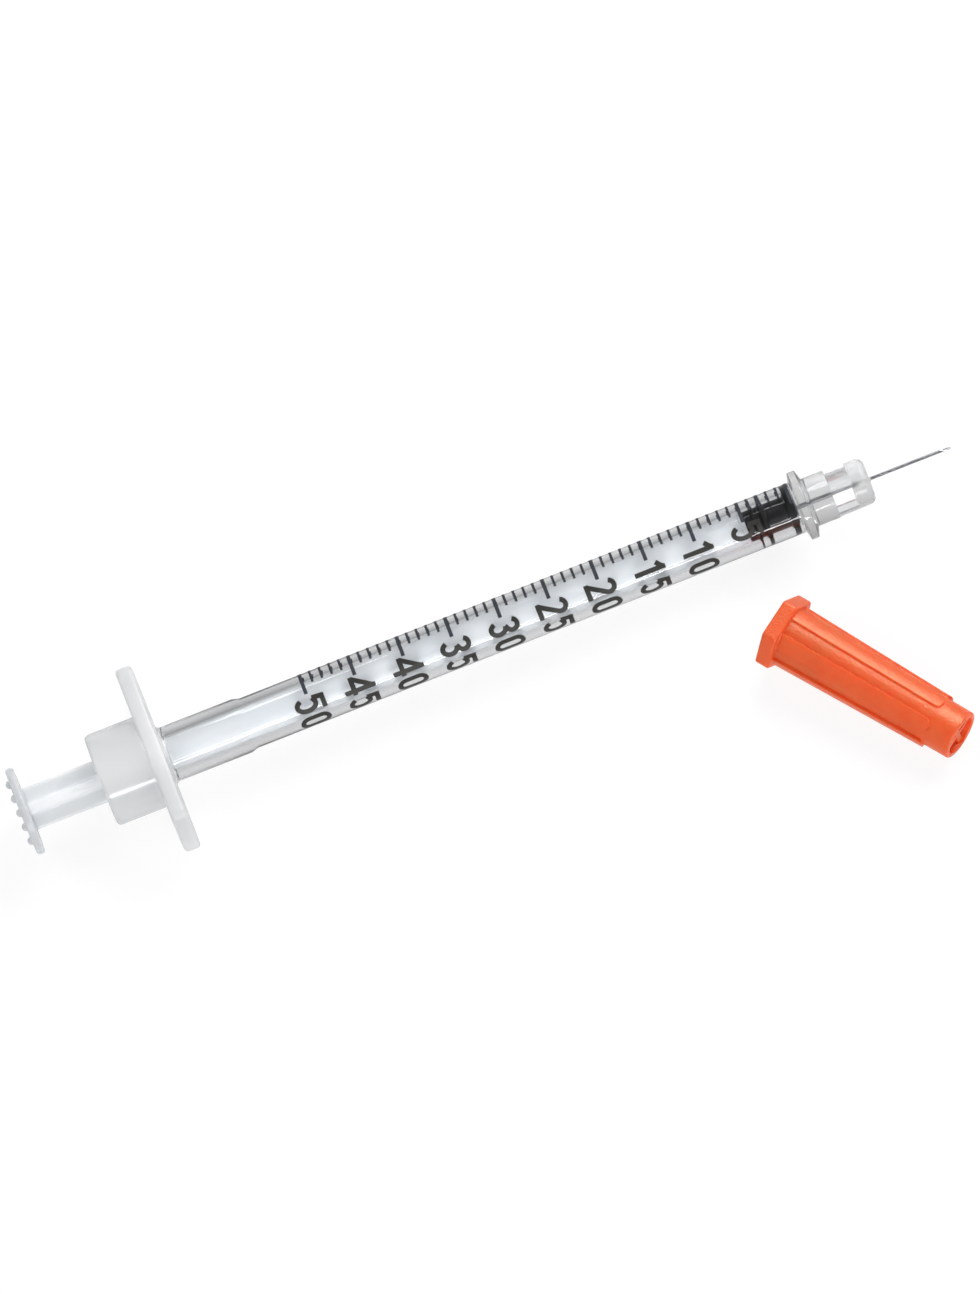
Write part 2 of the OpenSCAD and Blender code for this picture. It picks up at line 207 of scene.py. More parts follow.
def loft(name, sections, angles, closed=False, bend=None):
    """One skin through sections, each a place along X and a radius or a function of the angle.
    closed joins the last section to the first; otherwise both ends are closed by a flat face.
    bend moves an angle at a place along X, so that the mesh follows an edge."""
    points = []
    for x, radius in sections:
        for a in angles:
            if bend:
                a = bend(x, a)
            r = radius(a) if callable(radius) else radius
            points.append((x * MM, r * math.cos(a) * MM, r * math.sin(a) * MM))
    n, rows = len(angles), len(sections)
    faces = []
    for i in range(rows if closed else rows - 1):
        here, there = i * n, (i + 1) % rows * n
        for j in range(n):
            k = (j + 1) % n
            faces.append((here + j, here + k, there + k, there + j))
    if not closed:
        faces.append(tuple(range(n))[::-1])
        faces.append(tuple((rows - 1) * n + j for j in range(n)))
    return piece_from(name, points, faces)


def piece_from(name, points, faces, sharp_from=32):
    """A piece with merged points, outward faces and smooth shading up to its sharp edges."""
    mesh = bpy.data.meshes.new(name)
    mesh.from_pydata(points, [], faces)
    shape = bmesh.new()
    shape.from_mesh(mesh)
    bmesh.ops.remove_doubles(shape, verts=shape.verts, dist=2e-7)
    bmesh.ops.recalc_face_normals(shape, faces=shape.faces)
    shape.to_mesh(mesh)
    shape.free()
    piece = bpy.data.objects.new(name, mesh)
    bpy.context.scene.collection.objects.link(piece)
    soften(piece, sharp_from)
    return piece


def soften(piece, sharp_from=32):
    """Smooth shading, with edges kept sharp from an angle in degrees."""
    mesh = piece.data
    mesh.polygons.foreach_set("use_smooth", [True] * len(mesh.polygons))
    mesh.set_sharp_from_angle(angle=math.radians(sharp_from))


def combine(piece, others, operation="UNION"):
    """Joins the others to a piece as one solid, or cuts them from it, and removes them."""
    for other in others:
        step = piece.modifiers.new("step", "BOOLEAN")
        step.operation = operation
        step.solver = "EXACT"
        step.object = other
    bpy.context.view_layer.update()
    graph = bpy.context.evaluated_depsgraph_get()
    mesh = bpy.data.meshes.new_from_object(piece.evaluated_get(graph))
    piece.modifiers.clear()
    piece.data = mesh
    for other in others:
        bpy.data.objects.remove(other)
    soften(piece)
    return piece


def shift(x, y, z):
    """A move in millimetres."""
    return Matrix.Translation(Vector((x, y, z)) * MM)


def block(name, low, high):
    """A box between two corners in millimetres, for cutting."""
    corners = [(x * MM, y * MM, z * MM) for x in (low[0], high[0])
               for y in (low[1], high[1]) for z in (low[2], high[2])]
    faces = [(0, 1, 3, 2), (4, 6, 7, 5), (0, 4, 5, 1), (2, 3, 7, 6), (0, 2, 6, 4), (1, 5, 7, 3)]
    return piece_from(name, corners, faces)


def arc(centre, radius, start, end, steps=6):
    """Points [x, r] on a rounded corner, with the angle measured from the X axis."""
    found = []
    for i in range(steps + 1):
        a = math.radians(start + (end - start) * i / steps)
        found.append((centre[0] + radius * math.cos(a), centre[1] + radius * math.sin(a)))
    return found


def rounded_overlap(a, b, edge):
    """Distance to where two shapes overlap, with their common corner rounded."""
    a, b = a + edge, b + edge
    return min(max(a, b), 0) + math.hypot(max(a, 0), max(b, 0)) - edge


def soft_union(a, b, fillet):
    """Distance to two shapes joined with a fillet between them."""
    h = max(fillet - abs(a - b), 0) / fillet
    return min(a, b) - h * h * fillet / 4


def outline(distance, widest):
    """Radius by angle of a star-shaped outline, from the distance to it."""
    def radius(a):
        low, high = 0.0, widest
        for _ in range(22):
            r = (low + high) / 2
            if distance(r * math.cos(a), r * math.sin(a)) < 0:
                low = r
            else:
                high = r
        return (low + high) / 2
    return radius


# Barrel moulding

def oval(inset, least=0.0):
    """Outline of the finger flange, drawn in by an inset: a disc with two flat sides."""
    def distance(y, z):
        disc = math.hypot(y, z) - flange_half_l
        sides = abs(z) - flange_half_w
        return rounded_overlap(disc, sides, flange_corner) + inset
    radius = outline(distance, flange_half_l + 1)
    return lambda a: max(radius(a), least)


def windows():
    """Cutter that opens the nose round the needle and leaves its pillars, the first on top."""
    step = 360 / pillars
    centres = [90 + i * step for i in range(pillars)]
    half = pillar_half_angle
    edges = [c + side * (half + more) for c in centres for side in (-1, 1)
             for more in (-pillar_side_turn, pillar_side_turn)]

    def radius(a):
        turn = abs((math.degrees(a) - centres[0] + step / 2) % step - step / 2)
        return nose_front_r - pillar_t if turn < half else nose_back_r + 1

    angles = sorted({round(a % 360, 4) for a in edges} | {i * 7.5 for i in range(48)})
    return loft("windows", [(shank_l + 0.01, radius), (shank_l + window_l, radius)],
                [math.radians(a) for a in angles])


def nose_radius(x):
    """Radius of the tapered nose at a place along X."""
    share = (x - shank_l) / (nose_front_x - nose_edge - shank_l)
    return nose_back_r + (nose_front_r - nose_back_r) * share


def barrel():
    """Nose, collar, tube, root, finger flange and rear sleeve as one moulding."""
    passage_r = needle_r - needle_hold
    slope = (collar_base - collar_rim) / 2
    inner_r = sleeve_r - sleeve_wall
    bead_x = flange_rear_x + mouth_chamfer + bead_l
    e = collar_edge
    sections = [(nose_front_x - well_l, passage_r), (nose_front_x - well_l, well_r / 2)]
    sections += arc((nose_front_x - well_edge, well_r + well_edge), well_edge, 270, 360, 2)
    sections += arc((nose_front_x - nose_edge, nose_front_r - nose_edge), nose_edge, 0, 90)
    window_end = shank_l + window_l
    sections += [(window_end, nose_radius(window_end)), (shank_l, nose_back_r)]
    sections += arc((shank_l - shank_edge, shank_r - shank_edge), shank_edge, 20, 90, 2)
    sections += arc((shank_fillet, shank_r + shank_fillet), shank_fillet, 270, 200, 3)
    sections += arc((-slope - e, collar_r - e), e, 20, 90)
    sections += arc((-slope - collar_rim + e, collar_r - e), e, 90, 160)
    sections += arc((-collar_base, barrel_r + collar_fillet), collar_fillet, 340, 270, 3)
    sections += [(flange_x + root_l, barrel_r),
                 (flange_x + root_l - root_taper_l, root_r)]
    sections += arc((flange_x + root_fillet, root_r + root_fillet), root_fillet, 270, 180)
    for i in range(7):
        a = math.radians(i * 15)
        sections.append((flange_x - flange_edge * (1 - math.cos(a)),
                         oval(flange_edge * (1 - math.sin(a)))))
    for i in range(7):
        a = math.radians(i * 15)
        sections.append((flange_rear_x + flange_edge * (1 - math.sin(a)),
                         oval(flange_edge * (1 - math.cos(a)), sleeve_r)))
    sections += [(flange_rear_x, sleeve_r)]
    sections += arc((sleeve_rear_x + sleeve_edge, sleeve_r - sleeve_edge), sleeve_edge, 90, 180)
    sections += arc((sleeve_rear_x + sleeve_lip, inner_r + sleeve_lip), sleeve_lip, 180, 270, 4)
    sections += arc((flange_rear_x - sleeve_lip, inner_r - sleeve_lip), sleeve_lip, 90, 0, 4)
    sections += [(flange_rear_x, bore_r + mouth_chamfer),
                 (flange_rear_x + mouth_chamfer, bore_r),
                 (bead_x - bead_l, bore_r),
                 (bead_x - bead_l * 2 / 3, bore_r - bead_h),
                 (bead_x - bead_l / 3, bore_r - bead_h),
                 (bead_x, bore_r),
                 (bore_end_x, bore_r),
                 (bore_end_x, passage_r)]
    flange_turn = math.degrees(math.asin(flange_half_w / flange_half_l))
    corners = [flange_turn + i * 0.6 for i in range(-6, 4)]
    moulding = loft("barrel_moulding", sections, turned_angles(160, corners), closed=True)
    return combine(moulding, [windows()], "DIFFERENCE")


# Plunger rod, before it is turned to the way it lies

def cross(inset):
    """Outline of the cross-shaped grip, drawn in by an inset."""
    def distance(y, z):
        disc = math.hypot(y, z) - grip_r
        flat = rounded_overlap(disc, abs(z) - web_t / 2, web_edge)
        upright = rounded_overlap(disc, abs(y) - web_t / 2, web_edge)
        return soft_union(flat, upright, web_fillet) + inset
    return outline(distance, grip_r + 1)


def ridge(i):
    """One half-round grip ridge on the back of the thumb disc, with rounded ends."""
    y = i * ridge_pitch
    end_r = ridge_r * 0.5
    half_l = math.sqrt((thumb_r - thumb_edge) ** 2 - (abs(y) + ridge_r * 0.6) ** 2)
    profile = [(-half_l, 0.05)]
    profile += arc((end_r - half_l, end_r), end_r, 180, 90, 4)
    profile += [(ridge_end_l - half_l, ridge_r), (half_l - ridge_end_l, ridge_r)]
    profile += arc((half_l - end_r, end_r), end_r, 90, 0, 4)
    profile += [(half_l, 0.05)]
    bar = loft(f"ridge_{i}", profile, turned_angles(32))
    place = shift(thumb_x - thumb_t + ridge_sink, y, 0)
    bar.data.transform(place @ Matrix.Rotation(math.pi / 2, 4, "Y"))
    return bar


def rod():
    """Peg, pushing disc, round shaft, cross-shaped grip and ridged thumb disc as one moulding."""
    tip_x = stopper_rear_x - tip_gap
    rear_x = thumb_x - thumb_t
    e = tip_disc_edge
    sections = [(tip_x + peg_l, peg_r / 2), (tip_x + peg_l, peg_r), (tip_x, peg_r)]
    sections += arc((tip_x - e, tip_disc_r - e), e, 0, 90, 3)
    sections += arc((tip_x - tip_disc_t + e, tip_disc_r - e), e, 90, 180, 3)
    sections += [(tip_x - tip_disc_t, shaft_r), (shoulder_x, shaft_r)]
    for i in range(5):
        a = math.radians(i * 22.5)
        sections.append((shoulder_x - shoulder_edge * (1 - math.cos(a)),
                         cross(shoulder_edge * (1 - math.sin(a)))))
    sections += [(thumb_x + away, cross(-rise)) for away, rise in grip_flare]
    sections += arc((thumb_x - thumb_edge, thumb_r - thumb_edge), thumb_edge, 0, 90)
    sections += arc((rear_x + thumb_edge, thumb_r - thumb_edge), thumb_edge, 90, 180)
    sections += [(rear_x, 0.5)]
    web_turn = math.degrees(math.asin(web_t / 2 / grip_r))
    meet_turn = math.degrees(math.asin(web_t / 2 / shaft_r))
    turns = [web_turn + i for i in (-4, -3, -2, -1, 0, 1, 2)] + [meet_turn, 40, 43, 45]
    turns += [90 - a for a in turns]
    moulding = loft("rod_moulding", sections, turned_angles(120, turns))
    combine(moulding, [ridge(i - ridges // 2) for i in range(ridges)])
    moulding.data.transform(Matrix.Rotation(math.radians(rod_turn), 4, "X"))
    return moulding


# Stopper, needle and glue

def rubber_rib(at, width):
    """Sections of one sealing rib, squeezed a little into the wall of the bore."""
    rib_r = bore_r + rib_squeeze
    e = rib_round
    front, back = stopper_x - at + width / 2, stopper_x - at - width / 2
    return ([(front + rib_foot, stopper_core_r), (front, stopper_core_r + 0.05)]
            + arc((front - rib_foot - e, rib_r - e), e, 20, 90, 4)
            + arc((back + rib_foot + e, rib_r - e), e, 90, 160, 4)
            + [(back, stopper_core_r + 0.05), (back - rib_foot, stopper_core_r)])


def stopper():
    """Rubber stopper with a front lip and two ribs."""
    face_r = stopper_core_r - stopper_edge
    sections = [(stopper_x + 0.05, 0.2), (stopper_x + 0.03, face_r)]
    for at, width in rib_places:
        sections += rubber_rib(at, width)
    sections += arc((stopper_rear_x + stopper_edge, face_r), stopper_edge, 90, 180, 3)
    sections += [(stopper_rear_x, 0.2)]
    return loft("rubber_stopper", sections, turned_angles(96))


def needle():
    """Steel tube with a long bevel ground across its tip and two side bevels."""
    foot_x = bore_end_x - 0.05
    sections = [(foot_x, needle_bore_r), (needle_tip_x, needle_bore_r),
                (needle_tip_x, needle_r), (foot_x, needle_r)]
    tube = loft("needle_tube", sections, turned_angles(32), closed=True)
    cuts = []
    side_angle = bevel_angle * 1.5
    for turn, angle in ((0, bevel_angle), (-side_bevel_turn, side_angle), (side_bevel_turn, side_angle)):
        cutter = block("grind", (-3, -0.4, 0), (3, 0.4, 1))
        tip = shift(needle_tip_x, 0, -needle_r)
        cutter.data.transform(Matrix.Rotation(math.radians(turn), 4, "X") @ tip
                              @ Matrix.Rotation(math.radians(angle), 4, "Y"))
        cuts.append(cutter)
    return combine(tube, cuts, "DIFFERENCE")


def glue():
    """Glue that fills the well round the needle and climbs it a little."""
    hold_r = needle_r - needle_hold
    deep_x = nose_front_x - well_l - glue_bond
    brim_x, brim_r = nose_front_x - 0.02, well_r + glue_bond
    sections = [(deep_x, hold_r), (deep_x, well_r / 2 + glue_bond), (brim_x, brim_r)]
    for i in range(1, 7):
        share = i / 6
        sections.append((brim_x + (glue_rise + 0.02) * share ** 3, brim_r + (hold_r - brim_r) * share))
    return loft("glue_drop", sections, turned_angles(96), closed=True)


# Printed ink: the scale's lines and its numbers

ink_t = 0.03
ink_sink = 0.01
digit_w = 1.62
digit_h = 3.1
stroke_w = 0.48
long_line_w = 0.36
short_line_w = 0.24
lines_from = -76
long_lines_to = 8
short_lines_to = -14
first_digit_from = 13.5
second_digit_from = 59
print_twist = 3.5


def printed(name, strokes, x, turn):
    """Ink strokes wrapped on the barrel. A stroke is a path of points [across, along] in
    millimetres, a half width and whether it closes; across runs from a turn away from the top."""
    points, faces = [], []
    for path, half, loops in strokes:
        left, right = sides(fine(path, loops), half, loops)
        base, n = len(points), len(left)
        for height in (barrel_r + ink_t, barrel_r - ink_sink):
            for edge in (left, right):
                for across, along in edge:
                    a = math.radians(turn) + across / barrel_r
                    points.append(((x + along) * MM, -height * math.sin(a) * MM,
                                   height * math.cos(a) * MM))
        for i in range(n if loops else n - 1):
            k = (i + 1) % n
            for here, there in ((0, 1), (1, 3), (3, 2), (2, 0)):
                faces.append((base + here * n + i, base + here * n + k,
                              base + there * n + k, base + there * n + i))
        if not loops:
            faces += [(base, base + n, base + 3 * n, base + 2 * n),
                      (base + n - 1, base + 3 * n - 1 - n, base + 4 * n - 1, base + 3 * n - 1)]
    return piece_from(name, points, faces)


def fine(path, loops, step=0.12):
    """The path with points added so that it bends with the barrel."""
    ends = path[1:] + (path[:1] if loops else [])
    found = []
    for a, b in zip(path, ends):
        count = max(1, math.ceil(math.dist(a, b) / step))
        found += [(a[0] + (b[0] - a[0]) * i / count, a[1] + (b[1] - a[1]) * i / count)
                  for i in range(count)]
    return found if loops else found + [path[-1]]


def sides(path, half, loops):
    """Left and right edges of a path, with mitred corners."""
    left, right = [], []
    n = len(path)
    for i, p in enumerate(path):
        before = path[i - 1] if i or loops else p
        after = path[(i + 1) % n] if i < n - 1 or loops else p
        one = Vector((p[0] - before[0], p[1] - before[1]))
        two = Vector((after[0] - p[0], after[1] - p[1]))
        one = one.normalized() if one.length else two.normalized()
        two = two.normalized() if two.length else one
        across = Vector((-one.y - two.y, one.x + two.x)).normalized()
        reach = half / max(across.dot(Vector((-one.y, one.x))), 0.4)
        left.append((p[0] + across.x * reach, p[1] + across.y * reach))
        right.append((p[0] - across.x * reach, p[1] - across.y * reach))
    return left, right


def bow(centre, rx, ry, start, end, steps=14):
    """Points on part of an ellipse."""
    return [(centre[0] + rx * math.cos(math.radians(start + (end - start) * i / steps)),
             centre[1] + ry * math.sin(math.radians(start + (end - start) * i / steps)))
            for i in range(steps + 1)]


def digit_strokes(digit):
    """Centre lines of one digit's strokes, in a narrow sign-maker's style."""
    s = stroke_w / 2
    l, r, b, t = s, digit_w - s, s, digit_h - s
    mid = digit_w / 2
    round_r = mid - s
    if digit == "0":
        top = bow((mid, t - round_r * 1.15), round_r, round_r * 1.15, 0, 180)
        low = bow((mid, b + round_r * 1.15), round_r, round_r * 1.15, 180, 360)
        return [(top + low, s, True)]
    if digit == "1":
        stem = 0.95
        return [([(stem, 0), (stem, digit_h)], s, False),
                ([(stem - 0.62, digit_h - 0.82), (stem, digit_h - 0.26)], s, False)]
    if digit == "2":
        top = bow((mid, t - round_r), round_r, round_r, 165, -35)
        return [(top + [(l + 0.05, b + 0.12)], s, False), ([(0, b), (digit_w, b)], s, False)]
    if digit == "3":
        up_r = 0.55
        top = bow((mid - 0.02, t - up_r), round_r * 0.94, up_r, 160, -75)
        waist = digit_h * 0.535
        low_r = (waist - b) / 2
        low = bow((mid, b + low_r), round_r, low_r, 85, -160)
        return [(top + [(mid - 0.1, waist)], s, False), ([(mid - 0.1, waist)] + low, s, False)]
    if digit == "4":
        stem = digit_w - 0.38
        bar = digit_h * 0.31
        return [([(stem, 0), (stem, digit_h)], s, False),
                ([(stem + s * 0.2, t + 0.06), (0, bar)], s * 0.95, False),
                ([(-0.16, bar), (digit_w + 0.06, bar)], s, False)]
    bowl_r = digit_h * 0.285
    bowl = bow((mid - 0.03, b + bowl_r * 1.06), round_r + 0.03, bowl_r * 1.06, 120, -150)
    return [([(digit_w - 0.06, t), (l + 0.1, t), (l + 0.03, b + bowl_r * 1.85)], s, False),
            ([(l + 0.03, b + bowl_r * 1.85)] + bowl, s, False)]


def number_strokes(number):
    """Strokes of a number's digits, read across the barrel away from the top."""
    strokes = []
    for place, digit in enumerate(str(number)):
        shift = place * math.radians(second_digit_from - first_digit_from) * barrel_r
        for path, half, loops in digit_strokes(digit):
            moved = [(across + shift, along - digit_h / 2) for across, along in path]
            strokes.append((moved, half, loops))
    return strokes


def numbers():
    """The numbers 5 to 50, each centred on its long line. The print creeps a little round the
    barrel, so that the first number lies nearer the top than the last."""
    found = []
    for unit in range(5, units + 1, 5):
        turn = first_digit_from - print_twist * (units - unit) / units
        found.append(printed(f"number_{unit}", number_strokes(unit), zero_x - unit * unit_pitch, turn))
    return found


def scale():
    """The scale's lines: a short one for each unit and a long one at each fifth."""
    strokes = []
    for unit in range(units + 1):
        is_long = unit % 5 == 0
        width = long_line_w if is_long else short_line_w
        start = lines_from * math.pi / 180 * barrel_r
        end = (long_lines_to if is_long else short_lines_to) * math.pi / 180 * barrel_r
        x = -unit * unit_pitch
        strokes.append(([(start, x), (end, x)], width / 2, False))
    return printed("scale_print", strokes, zero_x, 0)


# Needle cap, along its own axis from its mouth

def hexagon(inset):
    """Outline of the cap's flange, with softened corners and drawn in by an inset."""
    half = hex_half_w - inset
    edge = hex_corner
    corner = (half - edge) / math.cos(math.pi / 6)

    def radius(a):
        turn = abs(a % (math.pi / 3) - math.pi / 6)
        away = math.pi / 6 - turn
        if half * math.tan(turn) <= (half - edge) * math.tan(math.pi / 6):
            return half / math.cos(turn)
        return corner * math.cos(away) + math.sqrt(edge ** 2 - (corner * math.sin(away)) ** 2)
    return radius


def rib_narrowing(x):
    """How far a rib's edge is drawn in at a place along the cap, in radians: its end is round."""
    into = min(max((x - (ribs_end - rib_end_r)) / rib_end_r, 0), 1)
    return rib_end_r * (1 - math.sqrt(1 - into * into)) / cap_end_r


def ribbed(x, base, height):
    """Outline of the cap's body: a circle with six low ribs, one on each corner of the flange."""
    half = math.radians(rib_half_angle) - rib_narrowing(x)

    def radius(a):
        turn = abs((a + math.pi / 6) % (math.pi / 3) - math.pi / 6)
        into = (half - turn) * base / rib_slope + 0.5
        into = min(max(into, 0), 1)
        return base + height * into * into * (3 - 2 * into)
    return radius


def along_ribs(x, a):
    """Moves a mesh line with the edge of the rib that it follows."""
    centre = round(a / (math.pi / 3)) * math.pi / 3
    turn = a - centre
    half = math.radians(rib_half_angle)
    into = rib_narrowing(x)
    if abs(turn) <= half:
        return centre + turn * (half - into) / half
    share = (math.pi / 6 - abs(turn)) / (math.pi / 6 - half)
    return a - math.copysign(into * share, turn)


def recess_bar(name, turn):
    """One bar of the cross in the closed end's recess."""
    half = bar_t / 2
    top = cap_l - bar_drop
    deep = cap_l - recess_l - bar_sink
    middle, depth = (top + deep) / 2, (top - deep) / 2
    shape = outline(lambda y, z: rounded_overlap(abs(y) - depth, abs(z) - half, bar_edge), 2)
    reach = rim_r - rim_wall / 2
    bar = loft(name, [(-reach, shape), (reach, shape)], turned_angles(48, [36, 37, 38]))
    lay = Matrix(((0, 1, 0, middle * MM), (0, 0, 1, 0), (1, 0, 0, 0), (0, 0, 0, 1)))
    bar.data.transform(Matrix.Rotation(turn, 4, "X") @ lay)
    return bar


def cap():
    """Cap with its six-sided flange, ribs, recessed end and inside."""
    mouth_l, mouth_r = shank_l + cap_play, shank_r + cap_play
    seat_l = nose_front_x + cap_play
    e = needle_room_edge
    sections = [(needle_room_l, e)]
    sections += arc((needle_room_l - e, needle_room_r - e), e, 0, 90, 4)
    sections += [(seat_l, needle_room_r), (seat_l, nose_front_r + cap_play),
                 (mouth_l, nose_back_r + cap_play), (mouth_l, mouth_r),
                 (cap_lead, mouth_r), (0, mouth_r + cap_lead)]
    e = hex_edge
    for i in range(5):
        a = math.radians(i * 22.5)
        sections.append((e * (1 - math.cos(a)), hexagon(e * (1 - math.sin(a)))))
    for i in range(5):
        a = math.radians(i * 22.5)
        sections.append((hex_t - e * (1 - math.sin(a)), hexagon(e * (1 - math.cos(a)))))
    base_r, base_end_r = cap_r - rib_h, cap_end_r - rib_h
    sections += [(hex_t, ribbed(0, base_r + body_fillet, rib_h)),
                 (hex_t + body_fillet, ribbed(0, base_r, rib_h))]
    start, run = ribs_end - rib_end_r, ribs_end - rib_h - hex_t
    for i in range(1, 9):
        x = hex_t + (start - hex_t) * i / 8
        sections.append((x, ribbed(x, base_r + (base_end_r - base_r) * (x - hex_t) / run, rib_h)))
    for i in range(1, 11):
        x = start + rib_end_r * math.sin(math.radians(i * 9))
        drop = min(max((x - ribs_end) / rib_edge + 1, 0), 1)
        sections.append((x, ribbed(x, base_end_r, rib_h * math.sqrt(1 - drop * drop))))
    sections += arc((cap_l - rim_edge, rim_r - rim_edge), rim_edge, 90, 0)
    inner_r = rim_r - rim_wall
    e = recess_lip
    sections += arc((cap_l - e, inner_r + e), e, 0, -90, 3)
    e = recess_fillet
    sections += arc((cap_l - recess_l + e, inner_r - e), e, 90, 180, 3)
    sections += [(cap_l - recess_l, 0.3)]
    rib_edges = [rib_half_angle + i * 0.35 for i in range(-4, 5)]
    turns = rib_edges + [60 - a for a in rib_edges] + [60 + a for a in rib_edges]
    turns += [i * 1.5 for i in range(-4, 5)] + [60 + i * 1.5 for i in range(-4, 5)]
    piece = loft("cap_moulding", sections, turned_angles(120, turns), bend=along_ribs)
    combine(piece, [recess_bar("bar_1", 0), recess_bar("bar_2", math.pi / 2)])
    rib_reach = cap_end_r * math.cos(math.radians(rib_half_angle))
    lean = math.atan((hex_half_w - rib_reach) / (ribs_end - rib_end_r - hex_t))
    place = (shift(flange_x, 0, -flange_half_w) @ Matrix.Rotation(-rest_tilt, 4, "Y")
             @ shift(bore_end_x - cap_back - flange_x, -cap_aside, 0)
             @ Matrix.Rotation(math.radians(cap_heading), 4, "Z")
             @ shift(hex_t, 0, 0) @ Matrix.Rotation(lean, 4, "Y") @ shift(-hex_t, 0, hex_half_w))
    piece.data.transform(place)
    return piece


# Materials

def linear(colour):
    """Linear red, green, blue and alpha of an sRGB hex colour."""
    parts = [int(colour[i:i + 2], 16) / 255 for i in (1, 3, 5)]
    return [c / 12.92 if c <= 0.04045 else ((c + 0.055) / 1.055) ** 2.4 for c in parts] + [1]


def add(tree, kind, inputs=None, **settings):
    """Adds a node with its settings, and links or sets its inputs, named or numbered."""
    new = tree.nodes.new(kind)
    for key, value in settings.items():
        setattr(new, key, value)
    for socket, value in (inputs or {}).items():
        if isinstance(value, bpy.types.NodeSocket):
            tree.links.new(value, new.inputs[socket])
        else:
            new.inputs[socket].default_value = value
    return new


def started(name):
    """An empty material with its tree, its output and the object's own coordinates."""
    material = bpy.data.materials.new(name)
    material.use_nodes = True
    tree = material.node_tree
    tree.nodes.clear()
    out = add(tree, "ShaderNodeOutputMaterial")
    place = add(tree, "ShaderNodeTexCoord").outputs["Object"]
    return material, tree, out, place


def spots(tree, place, size, detail=2.0, stretch=(1, 1, 1)):
    """Noise whose patches are size millimetres across, drawn out along an axis by stretch."""
    scaled = add(tree, "ShaderNodeMapping", {"Vector": place, "Scale": [1 / s for s in stretch]})
    return add(tree, "ShaderNodeTexNoise", {"Vector": scaled.outputs[0], "Scale": 1 / (size * MM),
                                            "Detail": detail}).outputs["Fac"]


def between(tree, fac, low, high):
    """A value that runs from low to high with a noise."""
    return add(tree, "ShaderNodeMapRange", {"Value": fac, "From Min": 0.3, "From Max": 0.7,
                                            "To Min": low, "To Max": high}).outputs[0]


def ranged(tree, value, low, high):
    """A value that runs from low to high as another runs from 0 to 1."""
    return add(tree, "ShaderNodeMapRange", {"Value": value, "To Min": low, "To Max": high}).outputs[0]


def tones(tree, fac, low, high):
    """A colour that runs from one hex colour to another with a noise."""
    ramp = add(tree, "ShaderNodeValToRGB", {"Fac": fac})
    ramp.color_ramp.elements[0].position = 0.3
    ramp.color_ramp.elements[1].position = 0.7
    ramp.color_ramp.elements[0].color = linear(low)
    ramp.color_ramp.elements[1].color = linear(high)
    return ramp.outputs[0]


def reckon(tree, operation, one, two):
    """A value worked out from two others, such as their product."""
    return add(tree, "ShaderNodeMath", {0: one, 1: two}, operation=operation).outputs[0]


def blend(tree, share, one, two):
    """A shader that passes from one to another as the share runs from 0 to 1."""
    return add(tree, "ShaderNodeMixShader", {0: share, 1: one.outputs[0], 2: two.outputs[0]})


def lets_lamps_through(tree, out, shader, share):
    """Lets part of the lamps' light through a clear skin, as it would pass the real plastic."""
    shadow = add(tree, "ShaderNodeLightPath").outputs["Is Shadow Ray"]
    clear = add(tree, "ShaderNodeBsdfTransparent")
    mixed = blend(tree, reckon(tree, "MULTIPLY", shadow, share), shader, clear)
    tree.links.new(mixed.outputs[0], out.inputs["Surface"])


def along(tree, place, stops):
    """A value that changes along X, from a list of [place in millimetres, value]."""
    first, last = stops[0][0], stops[-1][0]
    x = add(tree, "ShaderNodeSeparateXYZ", {0: place}).outputs["X"]
    share = add(tree, "ShaderNodeMapRange", {"Value": x, "From Min": first * MM, "From Max": last * MM})
    shade = add(tree, "ShaderNodeValToRGB", {"Fac": share.outputs[0]})
    ramp = shade.color_ramp
    for i, (at, value) in enumerate(stops):
        if i in (0, len(stops) - 1):
            stop = ramp.elements[0 if i == 0 else -1]
        else:
            stop = ramp.elements.new((at - first) / (last - first))
        stop.color = (value, value, value, 1)
    return shade.outputs[0]


